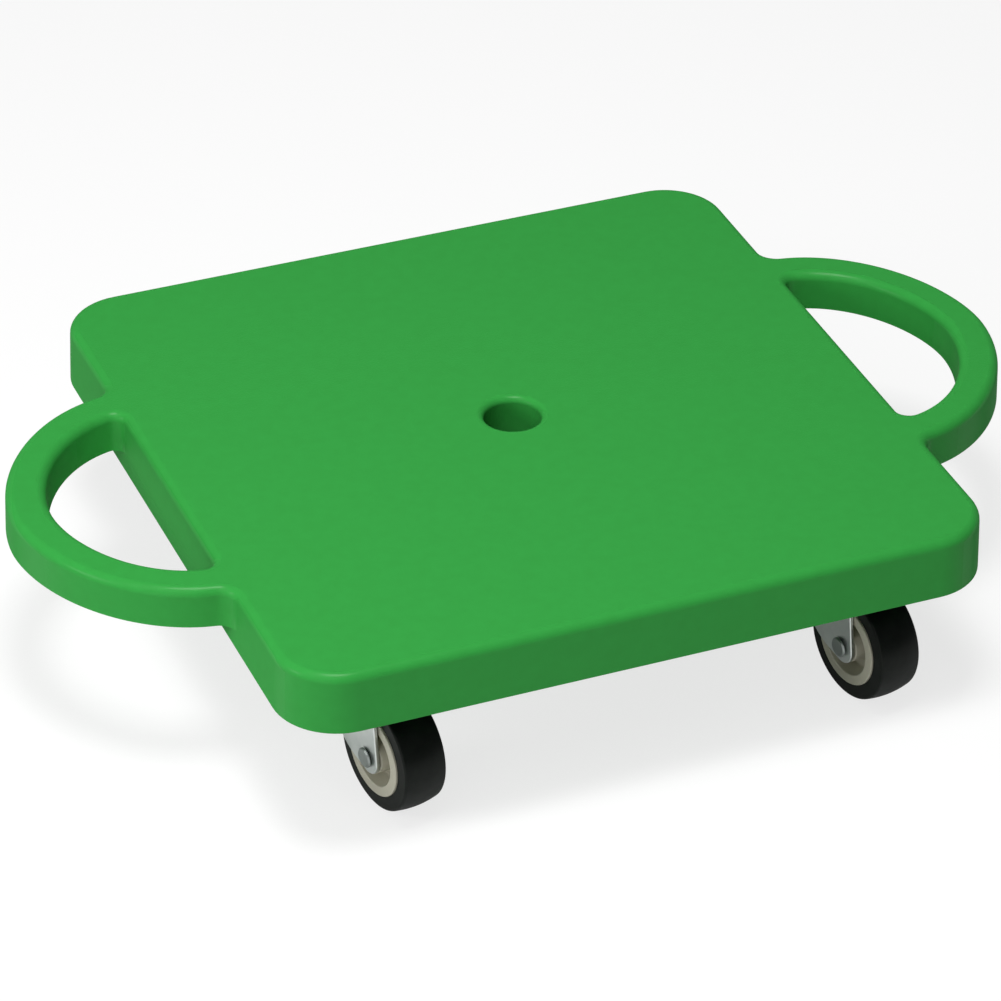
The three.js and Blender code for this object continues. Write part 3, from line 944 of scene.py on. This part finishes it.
def yoke():
    """The crown that runs on both rows of balls, and two legs down to the axle."""
    eye = kingpin_radius + kingpin_play
    rim_inside = crown_radius - crown_thickness
    rim_top = crown_top + crown_rim_height
    crown = filleted(
        [
            (eye, crown_bottom, 0),
            (crown_radius, crown_bottom, crown_chamfer),
            (crown_radius, rim_top, small_fillet),
            (rim_inside, rim_top, small_fillet),
            (rim_inside, crown_top, small_fillet),
            (eye, crown_top, 0),
        ]
    )
    whole = turned("yoke", crown, 2 * round_sides)
    outline = leg_outline()
    edge = leg_edge
    levels = [(-edge, 0), (0, edge), (0, leg_thickness - edge), (-edge, leg_thickness)]
    legs = []
    for face in (-yoke_inner, yoke_outer):
        leg = moved(stacked("leg", outline, levels), turn=math.pi / 2, axis="X")
        legs.append(moved(leg, y=face))
    pitch = rim_inside - fit - ball_radius
    joined(whole, *legs, ball_row(upper_balls, pitch, upper_ball_z))
    bore, far = axle_radius + fit, 2 * yoke_outer
    hole = turned("axle_hole", [(0, -far), (bore, -far), (bore, far), (0, far)], round_sides, about_y=True)
    return cut(whole, moved(hole, trail, 0, wheel_radius))


def both_ways(half):
    """A profile and its mirror image across the wheel's middle, where a point is kept once."""
    return [(radius, -width, fillet) for radius, width, fillet in reversed(half) if width != 0] + half


def axle():
    """Rivet with a low head on each leg, dished by the tool that formed it and clear at its rim."""
    shank = yoke_outer + fit
    end = shank + axle_head_height
    half = [
        (axle_radius, shank, 0),
        (axle_head_neck, shank, 0),
        (axle_head, shank + axle_head_height / 2, small_fillet / 2),
        (axle_head_flat, end, small_fillet),
        (0, end - axle_dish_depth, 0),
    ]
    return turned("axle", filleted(both_ways(half), closed=False), round_sides, about_y=True)


def bush():
    """Steel sleeve on the axle, nipped between the legs."""
    half = [(bush_outer, bush_half, small_fillet / 2), (axle_radius + fit, bush_half, 0)]
    return turned("bush", filleted(both_ways(half)), round_sides, about_y=True)


def hub():
    """Rim ring that stands a little proud of the tyre, recessed web and a boss round the bush."""
    boss_end = bush_half - fit
    web = hub_web / 2
    rim_inside = hub_radius - hub_rim
    half = [
        (hub_radius, hub_half, small_fillet),
        (rim_inside, hub_half, small_fillet),
        (rim_inside - hub_taper, web, large_fillet),
        (hub_boss + hub_taper, web, large_fillet),
        (hub_boss, boss_end, small_fillet),
        (bush_outer + fit, boss_end, 0),
    ]
    return turned("hub", filleted(both_ways(half)), wheel_sides, about_y=True)


def tyre():
    """A band with a crowned tread and round shoulders."""
    edge = tyre_width / 2
    bow_radius = (edge**2 + tyre_crown**2) / (2 * tyre_crown)
    spread = math.asin(edge / bow_radius)
    tread = arc(Vector((wheel_radius - bow_radius, 0)), bow_radius, 0, spread, edge_steps)
    half = [(point.x, point.y, 0) for point in tread[:-1]]
    half += [(tread[-1].x, edge, tyre_shoulder), (hub_radius + seat_gap, edge, small_fillet / 2)]
    return turned("tyre", filleted(both_ways(half)), wheel_sides, about_y=True)


# Each caster's pieces, grouped by what carries them: mesh, node, material slot and material
board_pieces = [
    (mount_plate(), "mount_plate", "zinc_steel", zinc),
    (kingpin(), "kingpin", "bright_steel", steel),
    (lower_race(), "lower_race", "zinc_steel", zinc),
]
swivel_pieces = [
    (yoke(), "yoke", "zinc_steel", zinc),
]
axle_pieces = [
    (axle(), "axle", "bright_steel", steel),
    (bush(), "bush", "zinc_steel", zinc),
]
wheel_pieces = [
    (hub(), "hub", "hub_plastic", cream),
    (tyre(), "tyre", "tyre_rubber", rubber),
]


def placed(pieces, place, body, matrix):
    """A copy of each piece at one caster, dressed and riding on its body."""
    for pattern, node, slot, material in pieces:
        piece = pattern.copy()
        piece.name = f"{place}_{node}_piece"
        bpy.context.scene.collection.objects.link(piece)
        piece.matrix_world = matrix
        dressed(piece, body, [f"{place}_{node}"], material)


screw_pattern = screw()
for place in casters:
    pivot = Matrix.Translation(pivots[place].xy.to_3d())
    roll = Vector(joints[f"{place}_wheel_roll"]["axis"])
    turn = Matrix.Rotation(math.atan2(roll.y, roll.x) - math.pi / 2, 4, "Z")
    placed(board_pieces, place, "board", pivot)
    placed(swivel_pieces, place, f"{place}_swivel", pivot @ turn)
    at_axle = Matrix.Translation(wheel_centres[place]) @ turn
    placed(axle_pieces, place, f"{place}_swivel", at_axle)
    placed(wheel_pieces, place, f"{place}_wheel", at_axle)
    for i, (x, y) in enumerate(screw_places):
        at_screw = pivot @ Matrix.Translation((x, y, 0))
        placed([(screw_pattern, f"screw_{i + 1}", "bright_steel", steel)], place, "board", at_screw)

for pattern, *_ in [*board_pieces, *swivel_pieces, *axle_pieces, *wheel_pieces, [screw_pattern]]:
    bpy.data.objects.remove(pattern)


# Floor, light and camera


def glow_by_ray(tree, ray, seen, lighting):
    """A glow with one strength for the camera, one in gloss or glass, and one as light on the board."""
    reflected = add_node(
        tree,
        "ShaderNodeMath",
        {0: ray.outputs["Is Glossy Ray"], 1: ray.outputs["Is Transmission Ray"]},
        operation="MAXIMUM",
    )
    faint = add_node(
        tree,
        "ShaderNodeMath",
        {0: reflected.outputs[0], 1: reflected_glow, 2: lighting},
        operation="MULTIPLY_ADD",
    )
    glow = add_node(
        tree,
        "ShaderNodeMath",
        {0: ray.outputs["Is Camera Ray"], 1: seen, 2: faint.outputs[0]},
        operation="MULTIPLY_ADD",
    )
    return glow.outputs[0]


def painted_floor():
    """A pale studio floor, matt white paint, which glows for the camera so that shadows stay faint."""
    material, tree, shader, _ = new_material("matt_floor_paint")
    ray = add_node(tree, "ShaderNodeLightPath")
    colour = add_node(
        tree,
        "ShaderNodeMix",
        {0: ray.outputs["Is Camera Ray"], MIX_A: linear("#e6e6e6"), MIX_B: linear("#8c8c8c")},
        data_type="RGBA",
    )
    tree.links.new(colour.outputs[MIX_RESULT], shader.inputs["Base Color"])
    tree.links.new(glow_by_ray(tree, ray, floor_glow, 0), shader.inputs["Emission Strength"])
    shader.inputs["Roughness"].default_value = 1
    shader.inputs["Specular IOR Level"].default_value = 0
    return material


floor_half = 8
floor_thickness = 10 * MM
floor_glow = 0.76
reflected_glow = 0.15
backdrop_glow = 0.82
faint_light = 0.02
floor = box("floor", -floor_half, floor_half, -floor_half, floor_half, -floor_thickness, 0)
floor.data.materials.append(painted_floor())

world = bpy.data.worlds.new("studio")
bpy.context.scene.world = world
world.use_nodes = True
sky = world.node_tree
background = sky.nodes["Background"]
background.inputs["Color"].default_value = linear("#f4f6f8")
sky_glow = glow_by_ray(sky, add_node(sky, "ShaderNodeLightPath"), backdrop_glow, faint_light)
sky.links.new(sky_glow, background.inputs["Strength"])


def direction(azimuth, elevation):
    """The way from the board to a lamp or to the camera, azimuth 0 being the front."""
    return Vector(
        (
            math.sin(azimuth) * math.cos(elevation),
            -math.cos(azimuth) * math.cos(elevation),
            math.sin(elevation),
        )
    )


def softbox(name, azimuth, elevation, distance, size, power):
    """A square area lamp that looks at the board."""
    lamp = bpy.data.lights.new(name, "AREA")
    lamp.size = size
    lamp.energy = power
    light = bpy.data.objects.new(name, lamp)
    bpy.context.scene.collection.objects.link(light)
    away = direction(math.radians(azimuth), math.radians(elevation))
    light.location = away * distance
    light.rotation_euler = away.to_track_quat("Z", "Y").to_euler()


# Each lamp's azimuth and elevation in degrees, distance and side in metres, and power in watts
lamps = {
    "overhead": (-40, 80, 1.7, 0.55, 20.4),
    "left": (-50, 52, 1.7, 1.2, 7.5),
    "low_left": (-85, 24, 1.1, 0.3, 2.2),
    "low_front": (-45, 8, 1.1, 0.45, 1),
}
for name, values in lamps.items():
    softbox(name, *values)

back = direction(camera_azimuth, camera_elevation)
level = Vector((math.cos(camera_azimuth), math.sin(camera_azimuth), 0))
upright = back.cross(level)
right = math.cos(camera_roll) * level + math.sin(camera_roll) * upright
up = back.cross(right)
lens = bpy.data.cameras.new("camera")
lens.sensor_width = sensor
lens.lens = focal_pixels / photo_size * sensor
lens.clip_end = view_limit
camera = bpy.data.objects.new("camera", lens)
bpy.context.scene.collection.objects.link(camera)
eye = Vector((0, 0, deck_top)) + camera_distance * back - framing_right * right - framing_up * up
camera.matrix_world = Matrix.Translation(eye) @ Matrix((right, up, back)).transposed().to_4x4()
bpy.context.scene.camera = camera
bpy.context.scene.view_settings.view_transform = "Standard"
